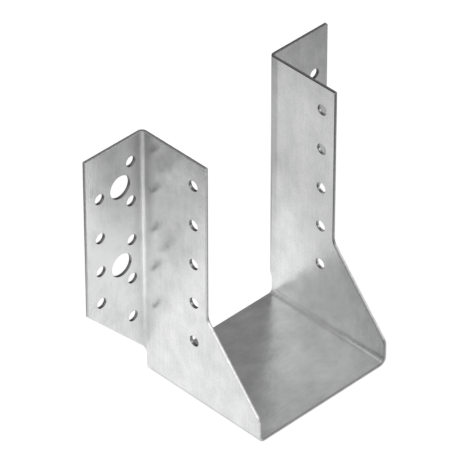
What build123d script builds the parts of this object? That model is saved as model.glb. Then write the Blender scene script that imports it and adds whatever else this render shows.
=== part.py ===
from build123d import *
from math import atan2, pi, sqrt, tan
import os

# A joist hanger: one sheet of galvanised steel, punched flat and folded four times.
# It stands on its seat. X runs across the joist, Y runs back to the header beam and Z is up.
# The origin is under the middle of the seat, level with its underside.

# The sheet and its folds, in millimetres
sheet = 1.5  # thickness
seat_bend_inside = 2.0  # inside radius of the seat's two bends
fold_inside = 1.0  # inside radius of the flanges' two folds
joist_width = 72.0  # clear width between the side plates
height = 124.5  # underside of the seat to the top edges
seat_depth = 69.0  # header face to the front edge of the seat
leg_depth = 38.0  # header face to the front edge of a side plate's upper leg
flange_width = 31.5  # outer face of a side plate to the free edge of its flange

# The slanting cuts
cheek_bottom = 11.5  # height where the slant of a side plate meets its front edge
toe_round = 5.0  # radius of the corner there
cheek_top = 47.5  # height where that slant meets the upper leg
cheek_round = 6.0  # radius of the corner there
foot_outer = 45.5  # height of a flange's slanting foot at its free edge
foot_inner = 13.5  # and where it reaches the fold
foot_round = 4.0  # radius of the corner between that foot and the side plate's back edge

# The holes
nail_hole = 5.0  # diameter
bolt_hole = 11.0  # diameter
nail_pitch = 20.0
nail_rows = 5  # in a full column
top_row = 12.0  # top edge down to the first row of nail holes
inner_column = 6.5  # outer face of the side plate to the flange's inner nail column
bolt_column = 12.5  # outer face of the side plate to the bolt holes
outer_column = 7.5  # flange's free edge to its outer nail column
joist_column = 7.0  # front edge of the upper leg to the side plate's nail column
outer_rows = (10.0, 30.0, 47.0, 63.5)  # drops of the outer nail holes below the first row
bolt_rows = (10.0, 50.0)  # drops of the bolt holes below the first row
web = 4.0  # least sheet left between a hole and the slanting foot

# Places that follow from these
seat_bend_outside = seat_bend_inside + sheet
fold_outside = fold_inside + sheet
half_inner = joist_width / 2
half_outer = half_inner + sheet
half_overall = half_outer + flange_width
header_y = seat_depth / 2
front_y = -seat_depth / 2
leg_y = header_y - leg_depth
fold_y = header_y - fold_outside  # the side plates and the seat end here and the folds begin
fold_x = half_inner + fold_outside  # the folds end here and the flanges begin
first_row_z = height - top_row
full_column = [row * nail_pitch for row in range(nail_rows)]
beyond = 10.0  # reach of a cutting tool past what it cuts

# A flange's slanting foot runs on across the fold, where its length is along the sheet's middle
foot_slope = (foot_outer - foot_inner) / (half_overall - fold_x)
fold_length = (fold_inside + sheet / 2) * pi / 2
fold_chord = fold_outside * sqrt(2)
corner_z = foot_inner - foot_slope * fold_length
corner_angle = atan2(fold_chord, foot_inner - corner_z)
fold_foot = corner_z - foot_round * tan(corner_angle / 2)


def quarter_bend(centre, first, axis, radius, length):
    """Skin of a quarter bend that starts on the first direction and turns about the axis."""
    arc = Plane(centre, x_dir=first, z_dir=axis) * CenterArc((0, 0), radius, 0, 90)
    return Face.extrude(arc.edge(), length)


def seat():
    """Upper skin of the seat, between its two bends."""
    plate = Rectangle(joist_width - 2 * seat_bend_inside, fold_y - front_y)
    return (Pos(0, (front_y + fold_y) / 2, sheet) * plate).face()


def seat_bend():
    """Inner skin of the bend from the seat up into the right side plate."""
    centre = (half_inner - seat_bend_inside, front_y, seat_bend_outside)
    length = (0, fold_y - front_y, 0)
    return quarter_bend(centre, (1, 0, 0), (0, 1, 0), seat_bend_inside, length)


def side_plate():
    """Inner skin of the right side plate: an upper leg that widens into a cheek over the seat."""
    outline = Polyline(
        (fold_y, height),
        (leg_y, height),
        (leg_y, cheek_top),
        (front_y, cheek_bottom),
        (front_y, seat_bend_outside),
        (fold_y, seat_bend_outside),
        (fold_y, fold_foot),
        close=True,
    )
    plate = make_face(outline)
    toe = plate.vertices().sort_by_distance((front_y, cheek_bottom))[0]
    plate = fillet(toe, toe_round)
    waist = plate.vertices().sort_by_distance((leg_y, cheek_top))[0]
    return (Plane.YZ.offset(half_inner) * fillet(waist, cheek_round)).face()


def fold():
    """Header-side skin of the right fold, cut off along the foot of the blank."""
    centre = (fold_x, fold_y, 0)
    whole = quarter_bend(centre, (-1, 0, 0), (0, 0, -1), fold_outside, (0, 0, height))
    rise = (foot_inner - corner_z) / fold_chord
    end = fold_chord + beyond
    waste = make_face(
        Polyline(
            (0, -beyond),
            (0, corner_z),
            (end, corner_z + rise * end),
            (end, -beyond),
            close=True,
        )
    )
    corner = waste.vertices().sort_by_distance((0, corner_z))[0]
    across_fold = Plane((half_inner, fold_y, 0), x_dir=(1, 1, 0), z_dir=(1, -1, 0))
    punch = extrude(across_fold * fillet(corner, foot_round), beyond, both=True)
    return (whole - punch).face()


def flange():
    """Header-side skin of the right flange, with its slanting foot."""
    outline = Polyline(
        (fold_x, height),
        (half_overall, height),
        (half_overall, foot_outer),
        (fold_x, foot_inner),
        close=True,
    )
    return (Plane.XZ.offset(-header_y) * make_face(outline)).face()


def folded_sheet():
    """The whole skin that faces the joist and the header, thickened away from them."""
    right = [seat_bend(), side_plate(), fold(), flange()]
    left = [face.mirror(Plane.YZ) for face in right]
    skin = Shell([seat()] + right + left)
    lowest = skin.faces().sort_by(Axis.Z)[0]
    return Solid.thicken(skin, -sheet * lowest.normal_at().Z)


def punches(face_plane, spots, diameter, reach):
    """Round punches that pass both ways through a plane at each spot."""
    disks = Sketch() + [Pos(u, v) * Circle(diameter / 2) for u, v in spots]
    return extrude(face_plane * disks, reach, both=True)


def flange_punches(column_x, drops, diameter):
    """Punches for one column of holes in each flange, where the slanting foot leaves room."""
    foot_z = foot_inner + foot_slope * (column_x - fold_x)
    rows = [first_row_z - drop for drop in drops]
    rows = [z for z in rows if z - diameter / 2 - web > foot_z]
    spots = [(side * column_x, z) for side in (-1, 1) for z in rows]
    return punches(Plane.XZ.offset(-header_y), spots, diameter, beyond)


def joist_punches():
    """Punches for the nail column that runs down both side plates."""
    spots = [(leg_y + joist_column, first_row_z - drop) for drop in full_column]
    return punches(Plane.YZ, spots, nail_hole, half_outer + beyond)


def joist_hanger():
    """The folded sheet with its nail holes and bolt holes."""
    hanger = folded_sheet()
    hanger -= flange_punches(half_outer + inner_column, full_column, nail_hole)
    hanger -= flange_punches(half_outer + bolt_column, bolt_rows, bolt_hole)
    hanger -= flange_punches(half_overall - outer_column, outer_rows, nail_hole)
    hanger -= joist_punches()
    return hanger


os.makedirs("parts", exist_ok=True)
export_step(joist_hanger(), "parts/joist_hanger.step")
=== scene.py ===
from collections import namedtuple
from functools import reduce
from math import atan2, ceil, cos, pi, radians, sin, tan

import bmesh
import bpy
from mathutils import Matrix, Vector

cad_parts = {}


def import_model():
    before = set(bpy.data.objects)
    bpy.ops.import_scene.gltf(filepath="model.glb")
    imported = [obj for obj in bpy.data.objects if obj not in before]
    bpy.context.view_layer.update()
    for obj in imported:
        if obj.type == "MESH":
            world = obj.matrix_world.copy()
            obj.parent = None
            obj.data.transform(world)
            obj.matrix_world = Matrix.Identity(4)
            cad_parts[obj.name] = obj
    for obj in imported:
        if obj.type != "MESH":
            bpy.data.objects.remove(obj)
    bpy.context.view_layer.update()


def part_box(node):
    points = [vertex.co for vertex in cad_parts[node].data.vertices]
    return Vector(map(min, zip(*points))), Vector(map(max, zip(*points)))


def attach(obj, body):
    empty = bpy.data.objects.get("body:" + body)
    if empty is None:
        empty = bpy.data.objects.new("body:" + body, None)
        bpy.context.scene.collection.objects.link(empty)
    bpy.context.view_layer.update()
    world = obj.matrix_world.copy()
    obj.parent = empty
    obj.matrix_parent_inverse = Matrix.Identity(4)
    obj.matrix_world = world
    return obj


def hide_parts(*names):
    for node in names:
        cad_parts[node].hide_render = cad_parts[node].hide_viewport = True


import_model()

NODE = "joist_hanger"
MM = 0.001

# The folded sheet's outside, from the frame, in millimetres
lowest, highest = (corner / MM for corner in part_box(NODE))
height = highest.z
front_y = lowest.y
header_y = highest.y
middle_y = (front_y + header_y) / 2
half_overall = highest.x

# The sheet, its slanting cuts and its holes, in millimetres, as the part has them
SHEET = 1.5
SEAT_BEND = 2.0
FOLD_BEND = 1.0
HALF_INNER = 36.0
LEG_DEPTH = 38.0
CHEEK_BOTTOM = 11.5
TOE_ROUND = 5.0
CHEEK_TOP = 47.5
CHEEK_ROUND = 6.0
FOOT_OUTER = 45.5
FOOT_INNER = 13.5
FOOT_CORNER = 10.62
FOOT_ROUND = 4.0
NAIL_HOLE = 5.0
BOLT_HOLE = 11.0
TOP_ROW = 12.0
NAIL_DROPS = (0.0, 20.0, 40.0, 60.0, 80.0)
OUTER_DROPS = (10.0, 30.0, 47.0, 63.5)
BOLT_DROPS = (10.0, 50.0)
INNER_COLUMN = 6.5
BOLT_COLUMN = 12.5
OUTER_COLUMN = 7.5
JOIST_COLUMN = 7.0

# The punched edges, in millimetres
CORNER_ROUND = 0.35
KINK_ROUND = 3.0
EDGE_ROUND = 0.1

# How finely the curves are divided, and how near points are joined
EDGE_STEPS = 3
ARC_STEP = radians(7.5)
NAIL_HOLE_STEPS = 40
BOLT_HOLE_STEPS = 64
SEAT_BEND_STEPS = 10
FOLD_STEPS = 16
JOIN_DISTANCE = 1e-5

# Material slots of the cut walls; slot 0 is the zinc on the sheet's two sides
SHEARED_SLOT = 1
PUNCHED_SLOT = 2

# Millimetres of the blank in one unit of its UV map
UV_LENGTH = 100.0

# Height on a side plate from which the painted shade and highlight beside a fold show, in
# millimetres
PAINTED_FOLD_FOOT = 18.0

# Places in the flat blank: p runs from the seat's middle up a side plate, q runs from front to back
seat_bend_outside = SEAT_BEND + SHEET
fold_outside = FOLD_BEND + SHEET
half_outer = HALF_INNER + SHEET
fold_x = HALF_INNER + fold_outside
fold_y = header_y - fold_outside
leg_y = header_y - LEG_DEPTH
seat_end = HALF_INNER - SEAT_BEND
plate_start = seat_end + SEAT_BEND * pi / 2
flange_start = fold_y + fold_outside * pi / 2


def up_plate(z):
    """Blank place p of a height on a side plate."""
    return plate_start + z - seat_bend_outside


def across_flange(x):
    """Blank place q of a distance from the middle on a flange."""
    return flange_start + x - fold_x


def folded_half(p, q, depth):
    """Place and axes of a point of the right half, depth below the skin on the joist's side."""
    if p <= seat_end:
        place = Vector((p, q, SHEET - depth))
        return place, Vector((1, 0, 0)), Vector((0, 1, 0)), Vector((0, 0, -1))
    if p < plate_start:
        turn = (p - seat_end) / SEAT_BEND
        out = Vector((sin(turn), 0, -cos(turn)))
        place = Vector((seat_end, q, seat_bend_outside)) + out * (SEAT_BEND + depth)
        return place, Vector((cos(turn), 0, sin(turn))), Vector((0, 1, 0)), out
    z = seat_bend_outside + p - plate_start
    up = Vector((0, 0, 1))
    if q <= fold_y:
        return Vector((HALF_INNER + depth, q, z)), up, Vector((0, 1, 0)), Vector((1, 0, 0))
    if q < flange_start:
        turn = (q - fold_y) / fold_outside
        inward = Vector((cos(turn), -sin(turn), 0))
        place = Vector((fold_x, fold_y, z)) - inward * (fold_outside - depth)
        return place, up, Vector((sin(turn), cos(turn), 0)), inward
    place = Vector((fold_x + q - flange_start, header_y - depth, z))
    return place, up, Vector((1, 0, 0)), Vector((0, -1, 0))


def folded(p, q, depth):
    """Place and axes of any point of the blank; the left half mirrors the right one."""
    place, along, across, inward = folded_half(abs(p), q, depth)
    if p < 0:
        for vector in (place, along, across, inward):
            vector.x = -vector.x
        along = -along
    return place, along, across, inward


def rounded_loop(corners):
    """Points and outward directions round an outline of (p, q, radius) corners, turning left."""
    loop = []
    count = len(corners)
    for index in range(count):
        here = Vector(corners[index][:2])
        radius = corners[index][2]
        arriving = (here - Vector(corners[index - 1][:2])).normalized()
        leaving = (Vector(corners[(index + 1) % count][:2]) - here).normalized()
        turn = atan2(arriving.cross(leaving), arriving.dot(leaving))
        side = 1 if turn > 0 else -1
        start = here - arriving * radius * tan(abs(turn) / 2)
        out_start = Vector((arriving.y, -arriving.x))
        centre = start - out_start * side * radius
        steps = max(2, ceil(abs(turn) / ARC_STEP))
        for step in range(steps + 1):
            angle = turn * step / steps
            out = Vector(
                (
                    out_start.x * cos(angle) - out_start.y * sin(angle),
                    out_start.x * sin(angle) + out_start.y * cos(angle),
                )
            )
            loop.append((centre + out * side * radius, out))
    return loop


def hole_loop(p, q, diameter):
    """Points round a hole, and directions out of the steel, which point to its middle."""
    steps = NAIL_HOLE_STEPS if diameter < BOLT_HOLE else BOLT_HOLE_STEPS
    loop = []
    for step in range(steps):
        angle = 2 * pi * step / steps
        ray = Vector((cos(angle), sin(angle)))
        loop.append((Vector((p, q)) + ray * diameter / 2, -ray))
    return loop


def blank_outline():
    """The outline of the whole blank, from the right half's corners and their mirror images."""
    right = [
        (up_plate(CHEEK_BOTTOM), front_y, TOE_ROUND),
        (up_plate(CHEEK_TOP), leg_y, CHEEK_ROUND),
        (up_plate(height), leg_y, CORNER_ROUND),
        (up_plate(height), across_flange(half_overall), CORNER_ROUND),
        (up_plate(FOOT_OUTER), across_flange(half_overall), CORNER_ROUND),
        (up_plate(FOOT_INNER), flange_start, KINK_ROUND),
        (up_plate(FOOT_CORNER), fold_y, FOOT_ROUND),
    ]
    left = [(-p, q, radius) for p, q, radius in reversed(right)]
    return rounded_loop(right + left)


def hole_loops():
    """Every nail hole and bolt hole of both halves."""
    first_row = height - TOP_ROW
    foot_slope = (FOOT_OUTER - FOOT_INNER) / (half_overall - fold_x)
    columns = [
        (half_outer + INNER_COLUMN, NAIL_DROPS, NAIL_HOLE),
        (half_outer + BOLT_COLUMN, BOLT_DROPS, BOLT_HOLE),
        (half_overall - OUTER_COLUMN, OUTER_DROPS, NAIL_HOLE),
    ]
    joist_q = leg_y + JOIST_COLUMN
    spots = [(up_plate(first_row - drop), joist_q, NAIL_HOLE) for drop in NAIL_DROPS]
    for x, drops, diameter in columns:
        for drop in drops:
            z = first_row - drop
            if z - diameter / 2 > FOOT_INNER + foot_slope * (x - fold_x):
                spots.append((up_plate(z), across_flange(x), diameter))
    return [hole_loop(side * p, q, diameter) for side in (1, -1) for p, q, diameter in spots]


def rim_rings():
    """Inset, depth, and the normal's share outward and along the depth, from skin to back."""
    rings = []
    for step in range(EDGE_STEPS + 1):
        angle = pi / 2 * step / EDGE_STEPS
        inset = EDGE_ROUND * (1 - sin(angle))
        depth = EDGE_ROUND * (1 - cos(angle))
        rings.append((inset, depth, sin(angle), -cos(angle)))
    back = [(inset, SHEET - depth, out, -down) for inset, depth, out, down in reversed(rings)]
    return rings + back


def cut_wall(sheet, layers, loop, slot):
    """The slab's cut wall round one loop; gives its edges on the skin and on the back."""
    place_layer, normal_layer = layers
    rows = []
    for inset, depth, outward, down in rim_rings():
        row = []
        for point, out in loop:
            flat = point - out * inset
            vert = sheet.verts.new((flat.x, flat.y, -depth))
            vert[place_layer] = (flat.x, flat.y, depth)
            vert[normal_layer] = (out.x * outward, out.y * outward, down)
            row.append(vert)
        rows.append(row)
    count = len(loop)
    pairs = [(i, (i + 1) % count) for i in range(count)]
    for upper, lower in zip(rows, rows[1:]):
        for i, j in pairs:
            face = sheet.faces.new((upper[i], lower[i], lower[j], upper[j]))
            face.material_index = slot
    return [[sheet.edges.get((row[i], row[j])) for i, j in pairs] for row in (rows[0], rows[-1])]


def flat_blank():
    """The punched blank as a flat slab with rounded edges; layers hold its places and normals."""
    sheet = bmesh.new()
    place_layer = sheet.verts.layers.float_vector.new("place")
    normal_layer = sheet.verts.layers.float_vector.new("normal")
    layers = (place_layer, normal_layer)
    skin_edges, back_edges = cut_wall(sheet, layers, blank_outline(), SHEARED_SLOT)
    for loop in hole_loops():
        skin, back = cut_wall(sheet, layers, loop, PUNCHED_SLOT)
        skin_edges += skin
        back_edges += back
    for edges in (skin_edges, back_edges):
        bmesh.ops.triangle_fill(sheet, use_beauty=True, use_dissolve=False, edges=edges)
    return sheet, place_layer, normal_layer


def cut_across(sheet, direction, start, end, steps):
    """Cuts the slab along even lines across one direction, so that it can bend there."""
    for step in range(steps + 1):
        place = direction * (start + (end - start) * step / steps)
        every = sheet.verts[:] + sheet.edges[:] + sheet.faces[:]
        bmesh.ops.bisect_plane(
            sheet, geom=every, dist=JOIN_DISTANCE, plane_co=place, plane_no=direction
        )


def folded_piece():
    """The blank, cut along its bends and folded up on the part's surfaces."""
    sheet, place_layer, normal_layer = flat_blank()
    along_p = Vector((1, 0, 0))
    along_q = Vector((0, 1, 0))
    cut_across(sheet, along_p, seat_end, plate_start, SEAT_BEND_STEPS)
    cut_across(sheet, along_p, -seat_end, -plate_start, SEAT_BEND_STEPS)
    cut_across(sheet, along_q, fold_y, flange_start, FOLD_STEPS)
    bmesh.ops.remove_doubles(sheet, verts=sheet.verts[:], dist=JOIN_DISTANCE)
    bmesh.ops.recalc_face_normals(sheet, faces=sheet.faces[:])
    blank_map = sheet.loops.layers.uv.new("blank")
    through_layer = sheet.verts.layers.float.new("through")
    normals = []
    for vert in sheet.verts:
        p, q, depth = vert[place_layer]
        place, along, across, inward = folded(p, q, depth)
        out_p, out_q, down = vert[normal_layer]
        normals.append((along * out_p + across * out_q + inward * down).normalized())
        vert.co = place * MM
        vert[through_layer] = depth / SHEET
        for corner in vert.link_loops:
            corner[blank_map].uv = (p / UV_LENGTH, q / UV_LENGTH)
    for face in sheet.faces:
        face.smooth = True
    mesh = bpy.data.meshes.new("folded_hanger")
    sheet.to_mesh(mesh)
    sheet.free()
    mesh.normals_split_custom_set_from_vertices(normals)
    piece = bpy.data.objects.new("folded_hanger", mesh)
    bpy.context.scene.collection.objects.link(piece)
    return piece


def nodes_of(owner):
    """Empties the node tree of a material or world, and gives a maker of linked nodes."""
    owner.use_nodes = True
    tree = owner.node_tree
    tree.nodes.clear()

    def add(kind, settings=None, inputs=None):
        node = tree.nodes.new(kind)
        for name, value in (settings or {}).items():
            setattr(node, name, value)
        for name, value in (inputs or {}).items():
            if isinstance(value, bpy.types.NodeSocket):
                tree.links.new(value, node.inputs[name])
            else:
                node.inputs[name].default_value = value
        return node

    return add


def maths(add, operation, *values):
    """Result of one arithmetic step on values."""
    return add("ShaderNodeMath", {"operation": operation}, dict(enumerate(values))).outputs[0]


def times(add, *values):
    """Product of values."""
    return reduce(lambda first, second: maths(add, "MULTIPLY", first, second), values)


def plus(add, *values):
    """Sum of values."""
    return reduce(lambda first, second: maths(add, "ADD", first, second), values)


def weighted(add, *pairs):
    """Sum of values, each times its weight."""
    return plus(add, *[times(add, value, weight) for value, weight in pairs])


def fade(add, value, span, levels):
    """Smooth change from the first level to the second while a value crosses a span."""
    start, end = span
    first, second = levels
    limits = {"From Min": start, "From Max": end, "To Min": first, "To Max": second}
    settings = {"interpolation_type": "SMOOTHSTEP"}
    return add("ShaderNodeMapRange", settings, {"Value": value, **limits}).outputs["Result"]


def rise(add, value, start, end):
    """Nothing up to the start, and one from the end on."""
    return fade(add, value, (start, end), (0.0, 1.0))


def fall(add, value, start, end):
    """One up to the start, and nothing from the end on."""
    return fade(add, value, (start, end), (1.0, 0.0))


def band(add, value, centre, reach):
    """One where a value is at the centre, fading to nothing at the reach on both sides."""
    away = maths(add, "ABSOLUTE", maths(add, "SUBTRACT", value, centre))
    return fall(add, away, 0.0, reach)


def oval(add, place, middle, reach, angle=0.0):
    """Distance from an oval's middle, as a share of its reach, which is given along both axes."""
    placed = add(
        "ShaderNodeMapping",
        {"vector_type": "TEXTURE"},
        {
            "Vector": place,
            "Location": (*middle, 0.0),
            "Rotation": (0.0, 0.0, radians(angle)),
            "Scale": (*reach, 1.0),
        },
    )
    length = add("ShaderNodeVectorMath", {"operation": "LENGTH"}, {0: placed.outputs["Vector"]})
    return length.outputs["Value"]


def noise(add, place, stretch, scale, detail):
    """Noise over a place, drawn out along it by the stretch."""
    placed = add("ShaderNodeMapping", None, {"Vector": place, "Scale": stretch})
    texture = add(
        "ShaderNodeTexNoise",
        None,
        {"Vector": placed.outputs["Vector"], "Scale": scale, "Detail": detail, "Roughness": 0.6},
    )
    return texture.outputs["Fac"]


# Where a point is on the blank. uv is the blank's map, and blank the same in millimetres, with p and
# q as its parts. up is p on either half, and z is the height on a side plate. through runs from 0 on
# the skin, which faces the joist and the header, to 1 on the back. skin and back are 1 on that side.
Spot = namedtuple("Spot", "uv blank p q up z through skin back")


def spot_on_blank(add):
    """The sockets that say where a point is on the blank."""
    uv = add("ShaderNodeUVMap", {"uv_map": "blank"}).outputs["UV"]
    scaled = add("ShaderNodeVectorMath", {"operation": "SCALE"}, {0: uv, "Scale": UV_LENGTH})
    blank = scaled.outputs["Vector"]
    apart = add("ShaderNodeSeparateXYZ", None, {"Vector": blank})
    up = maths(add, "ABSOLUTE", apart.outputs["X"])
    through = add("ShaderNodeAttribute", {"attribute_name": "through"}).outputs["Fac"]
    return Spot(
        uv=uv,
        blank=blank,
        p=apart.outputs["X"],
        q=apart.outputs["Y"],
        up=up,
        z=maths(add, "SUBTRACT", up, up_plate(0.0)),
        through=through,
        skin=maths(add, "LESS_THAN", through, 0.5),
        back=maths(add, "GREATER_THAN", through, 0.5),
    )


def seat_bend_painted_light(add, spot):
    """Skin of the seat bends: painted shade that deepens towards the back, thin lines of painted
    shade at the bend's ends, and a painted highlight and a painted dark line in front.
    """
    front_strip = front_y + 5.0
    # Painted shade across the bend, deeper towards the back
    shade_to_back = fade(add, spot.q, (front_strip, middle_y), (-0.08, -0.36))
    bend = times(add, band(add, spot.up, (seat_end + plate_start) / 2, 2.0), shade_to_back)
    # Thin lines of painted shade where the bend meets the seat and the plate
    bend_edge_shade = weighted(
        add,
        (band(add, spot.up, seat_end, 0.5), -0.05),
        (band(add, spot.up, plate_start, 0.7), -0.05),
    )
    # A painted highlight line and a painted dark line near the front
    front_highlight_and_shade = weighted(
        add,
        (band(add, spot.up, plate_start - 1.0, 1.2), 0.35),
        (band(add, spot.up, seat_end + 0.5, 1.2), -0.17),
    )
    front_highlight_and_shade = times(add, front_highlight_and_shade, fall(add, spot.q, front_strip, middle_y))
    return times(add, plus(add, bend, bend_edge_shade, front_highlight_and_shade), spot.skin)


def crease_painted_shade(add, spot):
    """Painted shade in stripes up the side plates beside the folds, growing darker to the top."""
    on_skin = times(
        add,
        rise(add, spot.q, fold_y - 3.2, fold_y - 2.0),
        fall(add, spot.q, fold_y, flange_start),
        fade(add, spot.z, (PAINTED_FOLD_FOOT, height), (-0.04, -0.33)),
        spot.skin,
    )
    on_back = times(
        add,
        rise(add, spot.q, fold_y - 8.0, fold_y - 1.5),
        fall(add, spot.q, fold_y - 0.6, fold_y),
        fade(add, spot.z, (60.0, 100.0), (-0.15, -0.38)),
        rise(add, spot.z, PAINTED_FOLD_FOOT - 10.0, PAINTED_FOLD_FOOT),
        spot.back,
    )
    return plus(add, on_skin, on_back)


def fold_highlight_and_shade(add, spot):
    """Back of the folds: painted shade at the foot, and a painted highlight from the middle up."""
    middle = (fold_y + flange_start) / 2
    stripe = plus(add, band(add, spot.q, middle, 2.0), band(add, spot.q, middle, 3.6))
    return times(add, stripe, fade(add, spot.z, (PAINTED_FOLD_FOOT, 62.0), (-0.14, 0.1)), spot.back)


def left_patch(add, spot, z, q, reach_up, reach_across):
    """One in the middle of a soft oval on the left half, fading to nothing at its reach."""
    away = oval(add, spot.blank, (-up_plate(z), q), (reach_up, reach_across))
    return fall(add, away, 0.0, 1.0)


def left_back_painted_light(add, spot):
    """Back of the left half: soft patches of painted light and shade beside the fold, and painted
    light on the flange.
    """
    near_fold = flange_start + 3.0
    patches = weighted(
        add,
        (left_patch(add, spot, z=116.0, q=13.0, reach_up=14.0, reach_across=12.0), 0.25),
        (left_patch(add, spot, z=82.0, q=16.0, reach_up=40.0, reach_across=20.0), -0.12),
        (left_patch(add, spot, z=116.0, q=near_fold, reach_up=14.0, reach_across=9.0), 0.55),
    )
    # Painted light on the left flange
    flange = times(
        add,
        rise(add, spot.q, fold_y, flange_start + 2.0),
        fall(add, spot.p, -10.0, 10.0),
        fade(add, spot.z, (45.0, 75.0), (0.13, 0.2)),
    )
    return times(add, plus(add, patches, flange), spot.back)


def right_plate_painted_light(add, spot):
    """Skin of the right side plate: painted shade at its front edge, painted light low by the fold
    and painted shade high by it, and painted light at the top.
    """
    near_edge = fade(add, spot.z, (10.0, 45.0), (-0.12, -0.22))
    near_fold = fade(add, spot.z, (38.0, 76.0), (0.1, -0.08))
    across = fade(add, spot.q, (leg_y + 3.0, fold_y - 5.0), (near_edge, near_fold))
    painted_light_top = fade(add, spot.z, (65.0, 105.0), (0.0, 0.17))
    on_plate = rise(add, spot.p, seat_end, plate_start)
    return times(add, plus(add, across, painted_light_top), on_plate, spot.skin)


def seat_painted_light(add, spot):
    """Skin of the seat: painted light at the front of its right half."""
    painted_light_front = fade(add, spot.q, (front_y, middle_y), (0.14, 0.0))
    right_half = rise(add, spot.p, 0.0, 15.0)
    off_plate = fall(add, spot.p, seat_end, plate_start)
    return times(add, painted_light_front, right_half, off_plate, spot.skin)


def metal(add, tone, ramp, shade, roughness, relief):
    """Metal whose colour follows the tone along a ramp, times the shade, with a fine relief."""
    colour = add("ShaderNodeValToRGB", None, {"Fac": tone})
    for stop, (position, tint) in zip(colour.color_ramp.elements, ramp):
        stop.position = position
        stop.color = (*tint, 1.0)
    shaded = add(
        "ShaderNodeVectorMath",
        {"operation": "SCALE"},
        {0: colour.outputs["Color"], "Scale": shade},
    )
    steel = add(
        "ShaderNodeBsdfPrincipled",
        None,
        {
            "Base Color": shaded.outputs["Vector"],
            "Metallic": 1.0,
            "Roughness": roughness,
            "Normal": add("ShaderNodeBump", None, relief).outputs["Normal"],
        },
    )
    add("ShaderNodeOutputMaterial", None, {"Surface": steel.outputs["BSDF"]})


def galvanised_steel():
    """Zinc-coated sheet: rolling lines, cloudy patches, fine grain, and painted light and shade at
    the bends, folds, side plates and seat.
    """
    material = bpy.data.materials.new("galvanised_sheet")
    add = nodes_of(material)
    spot = spot_on_blank(add)
    lines = noise(add, spot.uv, stretch=(1.0, 26.0, 1.0), scale=4.0, detail=4.0)
    clouds = noise(add, spot.uv, stretch=(0.8, 1.0, 1.0), scale=11.0, detail=6.0)
    patches = noise(add, spot.uv, stretch=(0.7, 1.0, 1.0), scale=3.5, detail=3.0)
    grain = noise(add, spot.uv, stretch=(1.0, 2.0, 1.0), scale=90.0, detail=3.0)
    shade = plus(
        add,
        1.0,
        seat_bend_painted_light(add, spot),
        crease_painted_shade(add, spot),
        fold_highlight_and_shade(add, spot),
        left_back_painted_light(add, spot),
        right_plate_painted_light(add, spot),
        seat_painted_light(add, spot),
    )
    rough = add("ShaderNodeMapRange", None, {"Value": clouds, "To Min": 0.17, "To Max": 0.31})
    waves = plus(add, clouds, times(add, lines, 0.25))
    metal(
        add,
        tone=weighted(add, (lines, 0.13), (clouds, 0.42), (patches, 0.22), (grain, 0.23)),
        ramp=[(0.38, (0.70, 0.704, 0.708)), (0.62, (0.958, 0.96, 0.96))],
        shade=shade,
        roughness=rough.outputs["Result"],
        relief={"Height": waves, "Strength": 0.27, "Distance": 0.0006},
    )
    return material


def bare_steel(name, dark, light, roughness, right_side):
    """Steel without zinc where the sheet was cut: streaked, with painted shade towards the skin, and
    painted light and shade that differ between the halves.
    """
    material = bpy.data.materials.new(name)
    add = nodes_of(material)
    spot = spot_on_blank(add)
    streaks = noise(add, spot.uv, stretch=(1.0, 1.0, 1.0), scale=60.0, detail=4.0)
    # Painted shade towards the skin
    skin_side_shade = fade(add, spot.through, (0.3, 0.55), (0.5, 1.0))
    # Painted light and shade by place: 1 on the left half, right_side on the seat and the right side
    # plate, and 0.6 on the right flange
    right = fade(add, spot.q, (fold_y, flange_start), (right_side, 0.6))
    half_light_and_shade = fade(add, spot.p, (-plate_start, -seat_end), (1.0, right))
    metal(
        add,
        tone=streaks,
        ramp=[(0.3, (dark, dark, dark * 1.02)), (0.7, (light, light, light * 1.01))],
        shade=times(add, skin_side_shade, half_light_and_shade),
        roughness=roughness,
        relief={"Height": streaks, "Strength": 0.3, "Distance": 0.0003},
    )
    return material


def reflected_paper(add):
    """The floor's brightness in reflections: pools of light, in metres, and a contact shadow."""
    contact_reach = 0.004
    where = add("ShaderNodeTexCoord").outputs["Object"]
    lit = oval(add, where, middle=(-0.03, -0.01), reach=(0.25276, 0.142), angle=147)
    behind = oval(add, where, middle=(0.001, 0.152), reach=(0.189, 0.07))
    # A painted darker pool on the floor behind to the left
    painted_dark_pool = oval(add, where, middle=(-0.17, 0.13), reach=(0.06, 0.06))
    pools = plus(
        add,
        fade(add, lit, (0.3521, 1.0), (1.0, 0.3)),
        fade(add, behind, (0.0, 1.0), (0.43, 0.0)),
        fade(add, painted_dark_pool, (0.0, 1.0), (-0.3, 0.0)),
    )
    nearby = add("ShaderNodeAmbientOcclusion", None, {"Distance": contact_reach})
    return times(add, pools, fade(add, nearby.outputs["AO"], (0.0, 1.0), (0.5, 1.0)))


def floor_paint():
    """White paper that stays white in the picture and greys with distance in reflections."""
    white = 1.05
    glow_share = 0.93
    material = bpy.data.materials.new("white_floor")
    add = nodes_of(material)
    path = add("ShaderNodeLightPath")
    level = add(
        "ShaderNodeMix",
        {"data_type": "FLOAT"},
        {"Factor": path.outputs["Is Camera Ray"], "A": reflected_paper(add), "B": white},
    )
    rays = ("Is Camera Ray", "Is Glossy Ray", "Is Transmission Ray")
    shown = maths(add, "MINIMUM", plus(add, *[path.outputs[ray] for ray in rays]), 1.0)
    paper = add("ShaderNodeBsdfDiffuse", None, {"Color": (0.85, 0.85, 0.85, 1)})
    glow = add(
        "ShaderNodeEmission",
        None,
        {"Color": (1, 1, 1, 1), "Strength": level.outputs["Result"]},
    )
    mixed = add(
        "ShaderNodeMixShader",
        None,
        {
            0: times(add, shown, glow_share),
            1: paper.outputs["BSDF"],
            2: glow.outputs["Emission"],
        },
    )
    add("ShaderNodeOutputMaterial", None, {"Surface": mixed.outputs["Shader"]})
    return material


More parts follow.
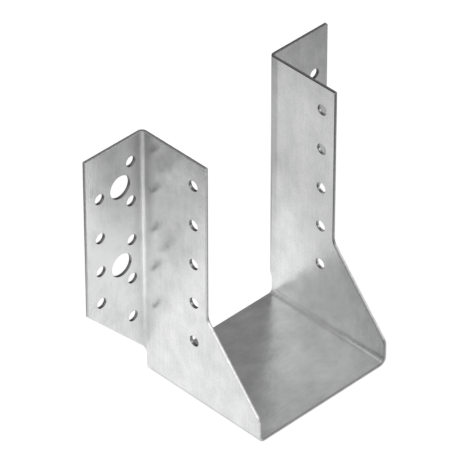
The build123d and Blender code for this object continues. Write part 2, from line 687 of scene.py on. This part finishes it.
def floor():
    """A flat sheet of white paper under the part."""
    reach = 3.0
    mesh = bpy.data.meshes.new("floor")
    corners = [(-reach, -reach, 0), (reach, -reach, 0), (reach, reach, 0), (-reach, reach, 0)]
    mesh.from_pydata(corners, [], [(0, 1, 2, 3)])
    mesh.materials.append(floor_paint())
    ground = bpy.data.objects.new("floor", mesh)
    bpy.context.scene.collection.objects.link(ground)


def world():
    """A plain studio: a gradient that is brighter to the front left than to the back right."""
    bright_side = (-0.773, -0.529, 0.35)
    sky = bpy.data.worlds.new("studio")
    bpy.context.scene.world = sky
    add = nodes_of(sky)
    ray = add("ShaderNodeTexCoord").outputs["Generated"]
    toward = add("ShaderNodeVectorMath", {"operation": "DOT_PRODUCT"}, {0: ray, 1: bright_side})
    level = fade(add, toward.outputs["Value"], (-0.8, 0.8), (0.18, 0.75))
    back = add("ShaderNodeBackground", None, {"Color": (1, 1, 1, 1), "Strength": level})
    add("ShaderNodeOutputWorld", None, {"Surface": back.outputs["Background"]})


def lamp(name, place, aim, size, power):
    """A square soft lamp at a place, aimed at a point, in metres and watts."""
    light = bpy.data.lights.new(name, "AREA")
    light.size = size
    light.energy = power
    holder = bpy.data.objects.new(name, light)
    holder.location = place
    holder.rotation_euler = (Vector(aim) - Vector(place)).to_track_quat("-Z", "Y").to_euler()
    bpy.context.scene.collection.objects.link(holder)


def camera():
    """A long lens looking down from the front left, at the photograph's angle."""
    azimuth = radians(-44.48)
    elevation = radians(37.83)
    distance = 1940.5
    target = Vector((-13.0, 4.5, 73.85))
    back = Vector((sin(azimuth) * cos(elevation), -cos(azimuth) * cos(elevation), sin(elevation)))
    lens = bpy.data.cameras.new("camera")
    lens.sensor_width = 36.0
    lens.lens = 363.6
    lens.clip_start = 0.01
    lens.clip_end = 50.0
    holder = bpy.data.objects.new("camera", lens)
    holder.location = (target + back * distance) * MM
    holder.rotation_euler = back.to_track_quat("Z", "Y").to_euler()
    bpy.context.scene.collection.objects.link(holder)
    bpy.context.scene.camera = holder


zinc = galvanised_steel()
# The sheared edges get painted shade on the seat and right half; the punched walls are dark as
# painted shade in the holes, with painted light in those of the right side plate
sheared = bare_steel("sheared_edge", dark=0.64, light=0.85, roughness=0.4, right_side=0.6)
punched = bare_steel("punched_wall", dark=0.24, light=0.36, roughness=0.35, right_side=1.4)
hanger = folded_piece()
for material in (zinc, sheared, punched):
    hanger.data.materials.append(material)
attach(hanger, "root")
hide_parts(NODE)

floor()
world()
lamp("key", place=(0.9, -1.2, 0.8), aim=(0, 0, 0.05), size=0.8, power=3.6)
camera()
bpy.context.scene.view_settings.view_transform = "Standard"
